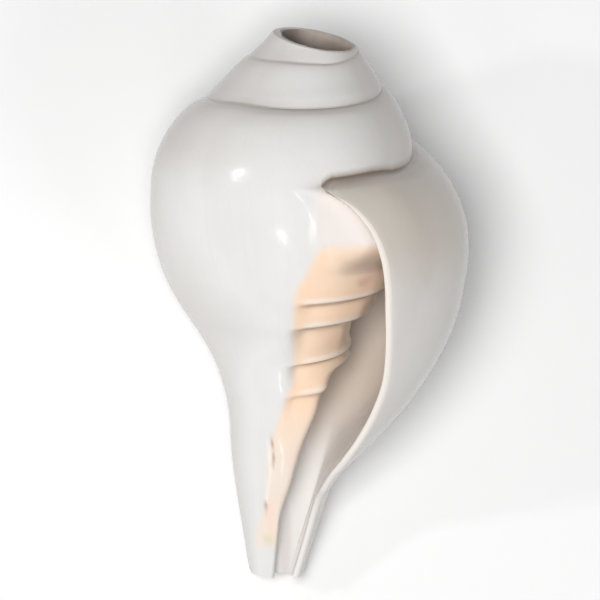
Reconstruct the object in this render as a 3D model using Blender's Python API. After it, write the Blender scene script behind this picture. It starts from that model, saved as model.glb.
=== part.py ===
"""A polished blowing conch: a right-handed sea shell whose tip has been sawn off to make a blow hole.

The shell grew in one piece, so it is one solid. A wall sweeps round the shell's own axis on a
logarithmic spiral, each turn laid against the one before, and the space inside it runs from the
blow hole to the mouth. Lengths here are millimetres until a point is placed.

"turn" is an angle in degrees round the axis, counted backwards along the growth: 0 faces the
viewer of the mouth, 90 is the right-hand side, 180 the back and 270 the left-hand side. It goes
on past 360 for the earlier turns. "depth" is the distance along the axis below the sawn face.
"""

import math

import bmesh
import bpy
import numpy as np
from mathutils import Matrix, Vector

MM = 0.001

# The spiral
LENGTH = 150.0  # sawn face to the end of the canal, along the axis
TIP_ABOVE_SAW = 16.4  # where the spiral would come to a point, above the sawn face
HALF_TURN_GROWTH = 1.25
REFERENCE_TURN = 90.0  # the right-hand side, where the profile below was measured

# The last whorl's outline, as (distance below the spiral's point, radius)
WHORL_PROFILE = [
    (43.0, 31.3), (44.2, 33.2), (46.0, 36.4), (50.0, 40.6), (54.8, 43.9), (60.0, 46.5), (66.0, 48.4),
    (73.0, 49.3), (80.0, 49.1), (86.0, 48.6), (92.0, 47.5), (100.0, 45.2), (108.0, 41.7), (115.8, 36.8),
    (122.0, 31.9), (127.0, 27.6), (133.0, 22.4), (140.0, 15.5), (150.0, 7.0), (165.0, 0.5),
]
# The earlier turns have straighter sides
SPIRE_SIDE = [(42.0, 31.2), (44.2, 33.8), (56.0, 42.4), (69.0, 51.1), (80.0, 53.0)]
SPIRE_SIDE_FROM, SPIRE_SIDE_TO = 430.0, 600.0
TOP_SHIFT, TOP_SHIFT_DEPTH = 1.6, 22.0  # the axis bends to the right above this depth
TOP_DRAW, TOP_DRAW_DEPTH = 0.7, 11.0  # and the whorls draw in
SUTURE_BELOW_POINT = 44.2
# How much the base draws in towards the lip, as (distance below the spiral's point, how far)
BASE_PINCH = [
    (60.0, 0.0), (71.0, 0.3), (86.0, 0.9), (96.0, 1.7), (104.5, 2.75), (113.6, 3.4), (122.0, 3.9),
    (129.0, 4.5), (136.0, 3.6), (142.0, 2.4), (150.0, 1.2), (165.0, 0.5),
]
# How the sutures sway off the even spiral, as (turn, how far down)
SUTURE_SWAY = [
    (0.0, -0.4), (36.0, -0.4), (42.0, -0.2), (48.0, 0.35), (54.0, 0.95), (66.0, 1.5), (78.0, 1.8), (90.0, 1.8),
    (110.0, 1.5), (160.0, 0.0), (250.0, 0.0), (300.0, -0.9), (315.0, -1.2), (330.0, -0.9), (360.0, -0.4),
    (390.0, -0.1), (420.0, 0.3), (440.0, 0.7), (470.0, 0.3), (520.0, 0.0), (640.0, -0.3), (690.0, -0.5),
    (720.0, -0.1), (750.0, 0.5), (790.0, 0.3), (900.0, 0.0), (1470.0, 0.0),
]

# The canal, a tapering spout below the body
CANAL_RADIUS, CANAL_TAPER, CANAL_STATION = 12.6, 0.235, 127.0
CANAL_TO_RIGHT = 2.8
CANAL_DENT, CANAL_DENT_DEPTH, CANAL_DENT_REACH = 1.6, 103.0, 12.0  # on its left side

# The inner wall of the mouth, as (distance below the spiral's point, radius), at COLUMELLA_TURN
COLUMELLA_TURN = 410.0
COLUMELLA_PROFILE = [
    (43.0, 31.8), (46.4, 33.4), (50.0, 34.2), (55.0, 34.5), (60.0, 34.3), (65.0, 33.8), (70.0, 33.0),
    (75.0, 32.0), (81.8, 30.4), (89.2, 27.2), (94.0, 24.0), (99.4, 20.6), (108.4, 15.8), (117.9, 12.0),
    (127.5, 8.4), (138.4, 5.6), (149.4, 3.6), (170.0, 2.4),
]
COLUMELLA_SIDE = [(80.0, 20.5), (91.0, 15.2), (101.5, 11.2), (111.0, 7.6), (122.0, 5.3), (133.0, 2.9), (170.0, 2.4)]
FOLDS = [(82.8, 3.0, 5.5), (90.4, 4.6, 7.0), (101.9, 3.6, 7.0), (110.8, 2.0, 6.0)]  # place, drop below it, reach
FOLD_TRACK_TURN, FOLD_TRACK_SHARE = 450.0, 0.4  # up to this turn the folds climb slower than the spiral

# The callus in the corner between the lip's upper end and the whorl it meets
CALLUS_RAMP = 20.0  # degrees over which it rises towards the lip
CALLUS_FROM, CALLUS_TO = 46.0, 60.0  # the depths over which it dies out
CALLUS_GAP = 1.5

# The outer lip
LIP_TURN = 12.0  # where the lip meets the whorl above
LIP_DIP = 2.0  # how far the suture turns down at its very end
LIP_SWEEP = [
    (0.0, 0.0), (1.5, 4.8), (3.1, 8.9), (5.4, 12.4), (9.1, 16.0), (12.6, 18.0), (18.9, 19.9), (30.2, 21.4),
    (41.8, 23.7), (57.4, 27.6), (74.8, 29.5), (82.1, 31.7), (89.4, 38.5), (92.7, 45.0), (96.4, 51.5), (101.2, 55.0),
    (106.8, 57.5), (115.8, 60.0), (125.0, 62.0),
]
LIP_SWEEP_FADE = 125.0  # degrees behind the lip over which its slant dies out

# The wall and the hollow
WALL, LIP_WALL = 3.1, 2.0
BACK_WALL = 1.5  # how much thicker the wall is behind, where the growing shell lies on it
HOLLOW_FLOOR_TURN, HOLLOW_FLOOR = 50.0, 132.4
CANAL_FLOOR = [
    (12.0, 165.0), (80.0, 165.0), (88.0, 150.0), (98.0, 138.0), (115.0, 124.0), (135.0, 113.5),
    (160.0, 104.5), (200.0, 94.5), (230.0, 89.5),
]
FLOOR_ROUNDING = 0.16  # share of the hollow's height that its floor is rounded over

# How it lies: turned about its own axis, then laid over on its back with the mouth up
REST_ROLL, REST_PITCH = -13.328, -67.874
REST_WEAR = 0.6  # how deep the back is worn level where it lies
# The back is a little flatter than the spiral there, over this many degrees and this stretch of places
FLAT_TURN, FLAT_WIDTH, FLAT_DEPTH = 185.0, 18.0, 1.1
FLAT_FROM, FLAT_TO = 60.0, 124.0

# The glaze
SHELL_COLOUR = (0.80, 0.775, 0.735, 1.0)
SHELL_ROUGHNESS = 0.22

# The grid
COLUMNS_PER_TURN = 40
SPIRE_END_TURN = 1470.0
HOLLOW_END_TURN = 1100.0
FINE_COLUMNS = 66  # columns beyond this one are taken two by two inside the hollow
SPIRE_ROWS = [0.0, 0.06, 0.17, 0.34, 0.56, 0.78, 1.0]
FOLD_ROWS = [65.0, 73.5, 82.8, 84.2, 86.8, 90.4, 91.8, 94.4, 97.8, 101.9, 103.3, 105.8, 108.4, 110.8, 112.6]
LOWER_ROWS = [0.1, 0.2, 0.32, 0.46, 0.62, 0.8, 1.0]
WALL_ROWS = [0.0, 0.03, 0.08, 0.16, 0.27, 0.4, 0.54, 0.65, 0.72, 0.8, 0.88, 0.94, 0.98, 1.0]
BELOW_END = 165.0

# The saw cut, the blow hole and the worn end of the canal
SAW_CENTRE = Vector((3.0, 0.0, 0.0))
SAW_NORMAL = Vector((0.122, -0.024, 0.992))
BLOW_HOLE_CENTRE = Vector((3.1, 0.0, 0.0))
BLOW_HOLE_RADIUS, BLOW_HOLE_BOTTOM_RADIUS, BLOW_HOLE_DEPTH = 10.0, 7.2, 14.0
# For each facet of the worn end, a point (x, z) on it and its lean in degrees
CANAL_END = [((0.0, -150.0), -1.5), ((-4.8, -148.5), -51.5), ((10.4, -148.8), 60.5)]


def smooth_step(value, low, high):
    share = np.clip((np.asarray(value, float) - low) / (high - low), 0.0, 1.0)
    return share * share * (3.0 - 2.0 * share)


def smooth_curve(knots):
    """A curve through the knots that never overshoots them."""
    x, y = np.array(knots, float).T
    step = np.diff(x)
    slope = np.diff(y) / step
    bend = np.zeros_like(x)
    bend[0], bend[-1] = slope[0], slope[-1]
    same_way = slope[:-1] * slope[1:] > 0
    bend[1:-1][same_way] = 2.0 * (slope[:-1] * slope[1:])[same_way] / (slope[:-1] + slope[1:])[same_way]

    def curve(value):
        value = np.asarray(value, float)
        at = np.clip(np.searchsorted(x, value) - 1, 0, len(step) - 1)
        t = (value - x[at]) / step[at]
        inside = np.clip(t, 0.0, 1.0)
        a = (1.0 + 2.0 * inside) * (1.0 - inside) ** 2
        b = inside * (1.0 - inside) ** 2
        c = inside * inside * (3.0 - 2.0 * inside)
        d = inside * inside * (inside - 1.0)
        result = a * y[at] + b * step[at] * bend[at] + c * y[at + 1] + d * step[at] * bend[at + 1]
        result = result + np.where(t > 1.0, (value - x[-1]) * bend[-1], 0.0)
        return result + np.where(t < 0.0, (value - x[0]) * bend[0], 0.0)

    return curve


whorl_profile = smooth_curve(WHORL_PROFILE)
spire_side = smooth_curve(SPIRE_SIDE)
base_pinch = smooth_curve(BASE_PINCH)
suture_sway = smooth_curve(SUTURE_SWAY)
columella_profile = smooth_curve(COLUMELLA_PROFILE)
columella_side = smooth_curve(COLUMELLA_SIDE)
lip_sweep = smooth_curve(LIP_SWEEP)
canal_floor = smooth_curve(CANAL_FLOOR)


def size_at(turn, reference=REFERENCE_TURN):
    """How large the shell was at this turn, next to its size at the reference turn."""
    return HALF_TURN_GROWTH ** ((reference - np.asarray(turn, float)) / 180.0)


def suture_depth(turn):
    dip = LIP_DIP * (1.0 - smooth_step(turn, LIP_TURN - 1.0, LIP_TURN + 4.5))
    return SUTURE_BELOW_POINT * size_at(turn) - TIP_ABOVE_SAW + dip + suture_sway(turn)


def fold_size(turn):
    """Like size_at, for the folds, which climb slower near the mouth."""
    slow = COLUMELLA_TURN + FOLD_TRACK_SHARE * (np.asarray(turn, float) - COLUMELLA_TURN)
    at_switch = COLUMELLA_TURN + FOLD_TRACK_SHARE * (FOLD_TRACK_TURN - COLUMELLA_TURN)
    return size_at(np.where(turn < FOLD_TRACK_TURN, slow, at_switch + (turn - FOLD_TRACK_TURN)), COLUMELLA_TURN)


def fold_relief(turn, depth):
    """The folds: each rises slowly from above to a crest and drops away sharply under it."""
    scale = fold_size(turn)
    place = (depth + TIP_ABOVE_SAW) / scale
    relief = np.zeros_like(place)
    for crest, drop, reach in FOLDS:
        below = np.clip((place - crest) / reach, 0.0, None)
        relief = relief - drop * (1.0 - np.exp(-below * 5.0)) * np.exp(-below * 1.5) * 1.5
    return relief * scale * smooth_step(turn, 361.0, 377.0)


def canal_radius(turn, depth):
    middle = CANAL_RADIUS - CANAL_TAPER * (np.minimum(depth, LENGTH + 5.0) - CANAL_STATION)
    dent = CANAL_DENT * np.exp(-(((depth - CANAL_DENT_DEPTH) / CANAL_DENT_REACH) ** 2))
    to_right = np.sin(np.radians(turn))
    return (middle + CANAL_TO_RIGHT * to_right - dent * (1.0 - to_right) / 2.0) * smooth_step(depth, 50.0, 100.0)


def outer_whorl(turn, depth):
    """The plain outside of the shell: the whorl, running smoothly into the canal."""
    scale = size_at(turn)
    place = (depth + TIP_ABOVE_SAW) / scale
    straight = smooth_step(turn, SPIRE_SIDE_FROM, SPIRE_SIDE_TO) * (1.0 - smooth_step(place, 69.0, 76.0))
    place = place - suture_sway(turn) / scale * (1.0 - smooth_step(place, 47.0, 66.0))
    whorl = scale * (whorl_profile(place) * (1.0 - straight) + spire_side(place) * straight)
    near_lip = 1.0 - smooth_step(turn, 80.0, 200.0)
    whorl = whorl - base_pinch(place) * near_lip
    whorl = whorl - TOP_DRAW * (1.0 - smooth_step(depth, 0.0, TOP_DRAW_DEPTH))
    along = smooth_step(place, FLAT_FROM, FLAT_FROM + 20.0) * (1.0 - smooth_step(place, FLAT_TO - 12.0, FLAT_TO))
    whorl = whorl - FLAT_DEPTH * along * np.exp(-(((turn - FLAT_TURN) / FLAT_WIDTH) ** 2))
    canal = canal_radius(turn, depth)
    blend = 2.4 - 0.6 * np.sin(np.radians(turn))
    higher, lower = np.maximum(whorl, canal), np.minimum(whorl, canal)
    return higher + blend * np.log1p(np.exp((lower - higher) / blend))


def soft_least(first, second, blend):
    return np.minimum(first, second) - blend * np.log1p(np.exp(-np.abs(first - second) / blend))


def lip_underside(turn, depth):
    """Radius of the inner face of the wall, worked out from the plain outside."""
    step = 0.4
    slope = (outer_whorl(turn, depth + step) - outer_whorl(turn, depth - step)) / (2.0 * step)
    return outer_whorl(turn, depth) - wall_at(turn) * np.sqrt(1.0 + slope * slope)


def callus_rise(turn, depth, radius):
    """How far the callus fills the corner under the lip's upper end, almost up to the lip."""
    behind_lip = turn - 360.0 - LIP_TURN - lip_sweep(np.clip(depth - suture_depth(LIP_TURN), 0.0, 140.0))
    share = smooth_step(behind_lip, -CALLUS_RAMP, -1.0) * (1.0 - smooth_step(behind_lip, 6.0, 45.0))
    share = share * (1.0 - smooth_step(depth, CALLUS_FROM, CALLUS_TO))
    return share * np.clip(lip_underside(turn - 360.0, depth) - CALLUS_GAP - radius, 0.0, None)


def inner_wall(turn, depth):
    """The glazed wall inside the mouth: the turn before, thickened, and the columella with its folds."""
    before = np.minimum(turn - COLUMELLA_TURN, 0.0)
    scale = size_at(np.maximum(turn, COLUMELLA_TURN) + 0.4 * before, COLUMELLA_TURN)
    rounded = scale * columella_profile((depth + TIP_ABOVE_SAW) / scale)
    rounded = -soft_least(-rounded, -canal_radius(np.minimum(turn, 450.0), depth), 1.5)
    facing = np.sin(np.radians(np.clip(turn - 360.0, 4.0, 90.0)))
    flat = columella_side(depth) / facing + 40.0 * (1.0 - smooth_step(depth, 74.0, 92.0))
    return soft_least(rounded, flat, 1.2) + fold_relief(turn, depth)


def surface(turn, depth):
    """Radius of the wall's outer face at any turn: bare outside, or hidden inside the turns that follow."""
    turn, depth = np.broadcast_arrays(np.asarray(turn, float), np.asarray(depth, float))
    next_suture = suture_depth(turn - 360.0)
    share = smooth_step(turn, 290.0, 374.0)
    share = share * smooth_step(depth, next_suture - 1.0, next_suture + 4.0 + 0.4 * np.clip(374.0 - turn, 0.0, 60.0))
    radius = (1.0 - share) * outer_whorl(turn, depth) + share * inner_wall(turn, depth)
    return radius + callus_rise(turn, depth, radius)


def wall_at(turn):
    grown = smooth_step(turn, LIP_TURN, LIP_TURN + 70.0)
    behind = smooth_step(turn, 95.0, 160.0) * (1.0 - smooth_step(turn, 205.0, 275.0))
    thickness = LIP_WALL + (WALL - LIP_WALL) * grown + BACK_WALL * behind
    return thickness * np.clip(size_at(turn), 0.0, 1.0) ** 0.7


def wall_inside(turn, depth, thickness):
    """Radius of the wall's inner face."""
    step = 0.4
    slope = (surface(turn, depth + step) - surface(turn, depth - step)) / (2.0 * step)
    return surface(turn, depth) - thickness * np.sqrt(1.0 + slope * slope)


def hollow_width(turn, depth):
    """Room between the inside of the wall and the turn before it. It is below zero where they meet."""
    return wall_inside(turn, depth, wall_at(turn)) - surface(np.asarray(turn) + 360.0, depth)


def floor_depth(turn):
    """The lowest point of the hollow: open along the canal near the lip, then rising with the spiral."""
    spiral = HOLLOW_FLOOR * size_at(turn, HOLLOW_FLOOR_TURN) - TIP_ABOVE_SAW
    return float(np.where(turn < CANAL_FLOOR[-1][0], canal_floor(turn), spiral))


def roof_depth(turn):
    """The highest point of the hollow, where the wall leaves the turn before it."""
    top = float(suture_depth(turn))
    samples = np.linspace(top + 0.5, top + 0.3 * (top + TIP_ABOVE_SAW), 300)
    width = hollow_width(turn, samples)
    first = int(np.nonzero(width > 0.0)[0][0])
    if first == 0:
        return float(samples[0])
    before = samples[first - 1]
    return float(before + (samples[first] - before) * -width[first - 1] / (width[first] - width[first - 1]))


def swept_turn(turn, depth):
    """The slant of the lip: the turn at which a column's point of this depth really lies."""
    fade = 1.0 - smooth_step(turn, LIP_TURN, LIP_TURN + LIP_SWEEP_FADE)
    return turn + lip_sweep(np.clip(depth - suture_depth(LIP_TURN), 0.0, 140.0)) * fade


def placed(turn, depth, radius):
    angle = np.radians(turn)
    shift = TOP_SHIFT * (1.0 - smooth_step(depth, 0.0, TOP_SHIFT_DEPTH))
    return np.stack([radius * np.sin(angle) + shift, -radius * np.cos(angle), -np.asarray(depth, float)], axis=-1)


def spire_column(turn):
    """Points of the outer face from this turn's suture down to where the next turn covers it."""
    top, bottom = suture_depth(turn), suture_depth(turn - 360.0)
    depth = top + np.array(SPIRE_ROWS) * (bottom - top)
    true_turn = swept_turn(turn, depth)
    radius = surface(true_turn, depth)
    radius[0] = surface(turn + 360.0, top)
    return placed(true_turn, depth, radius), depth


def body_depths(turn):
    """Rows of the outer face below the spire: past the wall's foot, over the folds and down the canal."""
    top = float(suture_depth(turn - 360.0))
    tube_turn = max(turn - 360.0, LIP_TURN)
    foot = top + roof_depth(tube_turn) - float(suture_depth(tube_turn))
    folds = np.array(FOLD_ROWS) * float(fold_size(turn)) - TIP_ABOVE_SAW
    above = [foot + share * (folds[0] - foot) for share in (0.12, 0.35, 0.66)]
    lowest = floor_depth(tube_turn)
    below = [folds[-1] + share * (lowest - folds[-1]) for share in LOWER_ROWS]
    return np.array([foot] + above + list(folds) + below)


def body_column(turn):
    depth = body_depths(turn)
    true_turn = swept_turn(turn, depth)
    return placed(true_turn, depth, surface(true_turn, depth)), depth


def wall_column(turn):
    """Points of the wall's inner face, from the roof of the hollow to its rounded floor."""
    roof, floor = roof_depth(turn), floor_depth(turn)
    depth = roof + np.array(WALL_ROWS) * (floor - roof)
    rounding = FLOOR_ROUNDING * (floor - roof) if floor < LENGTH else BELOW_END - LENGTH - 3.0
    up = np.clip((floor - depth) / rounding, 0.0, 1.0)
    cap = np.sqrt(up * (2.0 - up))
    true_turn = turn + (swept_turn(turn, depth) - turn) * cap
    inner = surface(true_turn + 360.0, depth)
    outer = wall_inside(true_turn, depth, wall_at(turn))
    return placed(true_turn, depth, inner + np.maximum(outer - inner, 0.0) * cap), depth


class ShellMesh:
    """Collects points and faces."""

    def __init__(self):
        self.points = []
        self.faces = []

    def add(self, point):
        self.points.append(point)
        return len(self.points) - 1

    def fill(self, left, right):
        """Quads between two columns of the same length."""
        for row in range(len(left) - 1):
            self.faces.append((left[row], left[row + 1], right[row + 1], right[row]))

    def zip(self, left, right, left_depth, right_depth):
        """Triangles between two columns whose rows differ."""
        i = j = 0
        while i < len(left) - 1 or j < len(right) - 1:
            left_first = j == len(right) - 1 or (i < len(left) - 1 and left_depth[i + 1] <= right_depth[j + 1])
            if left_first:
                face = (left[i], left[i + 1], right[j])
                i += 1
            else:
                face = (left[i], right[j + 1], right[j])
                j += 1
            if len(set(face)) == 3:
                self.faces.append(face)


def shell_mesh():
    mesh = ShellMesh()
    step = 360.0 / COLUMNS_PER_TURN
    once = COLUMNS_PER_TURN

    # The outside of the spire. The lowest row of each turn is the suture of the turn after it.
    spire_count = int(round((SPIRE_END_TURN - LIP_TURN) / step)) + 1
    spire, spire_depth = [], []
    for column in range(spire_count):
        points, depth = spire_column(LIP_TURN + column * step)
        names = [mesh.add(point) for point in points[:-1]]
        names.append(spire[column - once][0] if column >= once else mesh.add(points[-1]))
        spire.append(names)
        spire_depth.append(depth)
    for column in range(spire_count - 1):
        mesh.fill(spire[column], spire[column + 1])

    # The outside of the body whorl, running on into the mouth as the wall of the turn before.
    hollow_count = int(round((HOLLOW_END_TURN - LIP_TURN) / step)) + 1
    columns = list(range(once + 1))
    inside = [column for column in range(once + 1, once + hollow_count)]
    inside = [column for column in inside if column < FINE_COLUMNS or column % 2 == 0]
    body, body_depth = {}, {}
    for column in columns + inside:
        points, depth = body_column(LIP_TURN + column * step)
        body[column] = [mesh.add(point) for point in points]
        body_depth[column] = depth
    for column in columns:
        body[column].insert(0, spire[column][-1])
        body_depth[column] = np.insert(body_depth[column], 0, spire_depth[column][-1])
    for left, right in zip(columns[:-1], columns[1:]):
        mesh.fill(body[left], body[right])
    mesh.fill(body[once][1:], body[inside[0]])
    for left, right in zip(inside[:-1], inside[1:]):
        mesh.fill(body[left], body[right])

    # The inside of the wall, sharing its first and last rows with the wall of the turn before.
    wall, wall_depth = [], []
    for column in [once] + inside:
        points, depth = wall_column(LIP_TURN + (column - once) * step)
        partner = body[column][1:] if column == once else body[column]
        names = [partner[0]] + [mesh.add(point) for point in points[1:-1]] + [partner[-1]]
        wall.append(names)
        wall_depth.append(depth)
    for left, right in zip(wall[:-1], wall[1:]):
        mesh.fill(right, left)
    mesh.zip(wall[-1], body[inside[-1]], wall_depth[-1], body_depth[inside[-1]])

    # The rounded edge of the lip, between the outside and the inside of the wall.
    outer = spire[0] + body[0][1:]
    outer_depth = np.concatenate([spire_depth[0], body_depth[0][1:]])
    inner, inner_depth = wall[0], wall_depth[0]
    edge_depth = np.array([depth for depth in outer_depth if inner_depth[0] < depth < inner_depth[-1] - 8.0])
    edge_turn = swept_turn(LIP_TURN, edge_depth)
    middle = surface(edge_turn, edge_depth) - 0.55 * LIP_WALL
    forward = np.degrees(0.5 * LIP_WALL / middle)
    edge = [mesh.add(point) for point in placed(edge_turn - forward, edge_depth, middle)]
    mesh.zip(edge, outer, edge_depth, outer_depth)
    mesh.zip(inner, edge, inner_depth, edge_depth)
    mesh.faces.append((outer[0], inner[0], edge[0]))
    mesh.faces.append((outer[-1], edge[-1], inner[-1]))

    # Closing faces above the saw cut and below the end of the canal, both cut away later.
    ring = [spire[column][0] for column in range(spire_count - once - 1, spire_count)] + spire[-1][1:-1]
    tip = mesh.add(np.mean([mesh.points[name] for name in ring], axis=0))
    for first, second in zip(ring, ring[1:] + ring[:1]):
        mesh.faces.append((first, second, tip))
    ring = [body[column][-1] for column in columns]
    tip = mesh.add(np.mean([mesh.points[name] for name in ring], axis=0))
    for first, second in zip(ring, ring[1:] + ring[:1]):
        mesh.faces.append((second, first, tip))
    return mesh


def cutter(name, bottom_points, top_points):
    """A closed prism between two rings of points, for cutting."""
    count = len(bottom_points)
    faces = [tuple(reversed(range(count))), tuple(range(count, 2 * count))]
    for first in range(count):
        second = (first + 1) % count
        faces.append((first, second, count + second, count + first))
    data = bpy.data.meshes.new(name)
    data.from_pydata([tuple(point * MM) for point in list(bottom_points) + list(top_points)], [], faces)
    tool = bpy.data.objects.new(name, data)
    tool.hide_render = True
    tool.display_type = "WIRE"
    bpy.context.collection.objects.link(tool)
    return tool


def cut(target, tool):
    modifier = target.modifiers.new(tool.name, "BOOLEAN")
    modifier.operation = "DIFFERENCE"
    modifier.solver = "EXACT"
    modifier.object = tool
    graph = bpy.context.evaluated_depsgraph_get()
    result = bpy.data.meshes.new_from_object(target.evaluated_get(graph))
    target.modifiers.clear()
    target.data = result
    bpy.data.objects.remove(tool)


def ring_points(centre, normal, radius, count, offset):
    """Points of a circle square to the normal, at this offset along it."""
    across = normal.cross(Vector((0.0, 1.0, 0.0))).normalized()
    along = normal.cross(across)
    angles = [2.0 * math.pi * number / count for number in range(count)]
    return [
        centre + normal * offset + (across * math.cos(angle) + along * math.sin(angle)) * radius for angle in angles
    ]


def end_cutter(number):
    """A block that takes away everything beyond one facet of the worn canal end."""
    (x, z), lean = CANAL_END[number]
    normal = Vector((math.sin(math.radians(lean)), 0.0, -math.cos(math.radians(lean))))
    centre = Vector((x, 0.0, z))
    near = ring_points(centre, normal, 40.0, 4, 0.0)
    far = ring_points(centre, normal, 40.0, 4, 30.0)
    return cutter("canal_end_%d" % number, near, far)


def make_shell():
    mesh = shell_mesh()
    data = bpy.data.meshes.new("shell")
    data.from_pydata([tuple(point * MM) for point in mesh.points], [], mesh.faces)
    work = bmesh.new()
    work.from_mesh(data)
    bmesh.ops.triangulate(work, faces=work.faces)
    bmesh.ops.recalc_face_normals(work, faces=work.faces)
    work.to_mesh(data)
    work.free()
    shell = bpy.data.objects.new("shell", data)
    bpy.context.collection.objects.link(shell)

    normal = SAW_NORMAL.normalized()
    near, far = ring_points(SAW_CENTRE, normal, 60.0, 4, 0.0), ring_points(SAW_CENTRE, normal, 60.0, 4, 40.0)
    cut(shell, cutter("saw", near, far))
    for number in range(len(CANAL_END)):
        cut(shell, end_cutter(number))
    bottom = ring_points(BLOW_HOLE_CENTRE, normal, BLOW_HOLE_BOTTOM_RADIUS, 28, -BLOW_HOLE_DEPTH)
    top = ring_points(BLOW_HOLE_CENTRE, normal, BLOW_HOLE_RADIUS + 0.3, 28, 2.0)
    cut(shell, cutter("blow_hole", bottom, top))
    return shell


def corners_of(shell):
    corners = np.array([vertex.co[:] for vertex in shell.data.vertices])
    return corners.min(axis=0), corners.max(axis=0)


def lay_down(shell):
    """Lays the shell on its back, wears it level there and puts the middle of its box over the origin."""
    data = shell.data
    data.transform(Matrix.Rotation(math.radians(REST_PITCH), 4, "X") @ Matrix.Rotation(math.radians(REST_ROLL), 4, "Z"))
    low, high = corners_of(shell)
    worn = Vector(((low[0] + high[0]) / 2.0, (low[1] + high[1]) / 2.0, low[2])) / MM + Vector((0.0, 0.0, REST_WEAR))
    down = Vector((0.0, 0.0, -1.0))
    near, far = ring_points(worn, down, 150.0, 4, 0.0), ring_points(worn, down, 150.0, 4, 30.0)
    cut(shell, cutter("worn_back", near, far))
    low, high = corners_of(shell)
    shell.data.transform(Matrix.Translation((-(low[0] + high[0]) / 2, -(low[1] + high[1]) / 2, -low[2])))


def finish(shell):
    work = bmesh.new()
    work.from_mesh(shell.data)
    bmesh.ops.triangulate(work, faces=work.faces)
    work.to_mesh(shell.data)
    work.free()
    shell.data.polygons.foreach_set("use_smooth", [True] * len(shell.data.polygons))
    glaze = bpy.data.materials.new("glaze")
    glaze.use_nodes = True
    principled = glaze.node_tree.nodes["Principled BSDF"]
    principled.inputs["Base Color"].default_value = SHELL_COLOUR
    principled.inputs["Roughness"].default_value = SHELL_ROUGHNESS
    principled.inputs["Metallic"].default_value = 0.0
    shell.data.materials.clear()
    shell.data.materials.append(glaze)


for startup_object in list(bpy.data.objects):
    bpy.data.objects.remove(startup_object)

shell = make_shell()
lay_down(shell)
finish(shell)
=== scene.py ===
import math

import bmesh
import bpy
import numpy as np
from mathutils import Matrix, Vector
from mathutils.kdtree import KDTree


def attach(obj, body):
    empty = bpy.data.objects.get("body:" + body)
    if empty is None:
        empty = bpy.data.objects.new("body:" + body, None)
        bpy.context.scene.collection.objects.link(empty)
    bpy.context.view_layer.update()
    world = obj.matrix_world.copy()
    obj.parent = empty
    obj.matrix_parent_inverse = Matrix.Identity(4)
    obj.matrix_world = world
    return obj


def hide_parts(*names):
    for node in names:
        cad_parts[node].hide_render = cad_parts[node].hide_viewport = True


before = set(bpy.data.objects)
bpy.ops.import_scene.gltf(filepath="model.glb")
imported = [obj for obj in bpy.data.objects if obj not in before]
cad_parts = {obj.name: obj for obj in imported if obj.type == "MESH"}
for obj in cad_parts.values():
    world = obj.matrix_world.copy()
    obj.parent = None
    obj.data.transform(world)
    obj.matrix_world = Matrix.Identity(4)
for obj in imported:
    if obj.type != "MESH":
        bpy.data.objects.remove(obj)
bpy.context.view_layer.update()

mm = 0.001
slopeStep = 0.4  # in mm, for measuring how a wall slants

# The shell is worked out in its own frame: x to the right of the mouth, y away from the viewer of the
# mouth, z up its axis, in millimetres. turn is an angle in degrees round the axis, counted back along
# the growth: 0 faces the viewer, 90 is right, 180 the back, 270 left, and it goes on for earlier turns.
# depth is the distance along the axis below the sawn face.

whorlForm = {
    "length": 150,
    "tipAboveSaw": 16.4,  # where the spiral would come to a point
    "halfTurnGrowth": 1.25,
    "referenceTurn": 90,
    "profile": [  # (distance below the point, radius) of the last turn's outline
        (43, 31.3), (44.2, 33.2), (46, 36.4), (50, 40.6), (54.8, 43.9), (60, 46.5), (66, 48.4),
        (73, 49.3), (80, 49.1), (86, 48.6), (92, 47.5), (100, 45.2), (108, 41.7), (115.8, 36.8),
        (122, 31.9), (127, 27.6), (133, 22.4), (140, 15.5), (150, 7), (165, 0.5),
    ],
    "sutureBelowPoint": 44.2,
    "basePinch": [  # (distance below the point, how far) the base draws in towards the lip
        (60, 0), (71, 0.3), (86, 0.9), (96, 1.7), (104.5, 2.75), (113.6, 3.4), (122, 3.9),
        (129, 4.5), (136, 3.6), (142, 2.4), (150, 1.2), (165, 0.5),
    ],
    "pinchTurns": (80, 200),  # it does so only near the lip
    "sutureSway": [  # (turn, how far down) the sutures stray from the even spiral
        (0, -0.4), (36, -0.4), (42, -0.2), (48, 0.35), (54, 0.95), (66, 1.5), (78, 1.8),
        (90, 1.8), (110, 1.5), (160, 0), (250, 0), (300, -0.9), (315, -1.2), (330, -0.9),
        (360, -0.4), (390, -0.1), (420, 0.3), (440, 0.7), (470, 0.3), (520, 0), (640, -0.3),
        (690, -0.5), (720, -0.1), (750, 0.5), (790, 0.3), (900, 0), (1470, 0),
    ],
    "swayFade": (47, 66),  # the whorl follows the sway less and less below its suture
    "spireSide": [(42, 31.2), (44.2, 33.8), (56, 42.4), (69, 51.1), (80, 53)],
    "spireSideTurns": (430, 600),  # the earlier turns have straighter sides
    "spireSideFade": (69, 76),
    "topShift": 1.6,  # the axis bends to the right near the sawn end
    "topShiftDepth": 22,
    "topDraw": 0.7,  # and the whorls draw in
    "topDrawDepth": 11,
    "shoulderRound": 0.45,  # how softly a turn rises out of its suture
}

canalForm = {
    "radius": 12.6, "taper": 0.235, "station": 127, "toRight": 2.8,
    "dent": 1.6, "dentDepth": 103, "dentReach": 12,  # on its left side
    "comesIn": (50, 100),  # depths between which the canal grows out of the whorl
    "blend": 2.4, "blendToRight": -0.6,
    "inMouthTo": 450,  # the turn up to which its wall is followed inside
}

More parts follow.
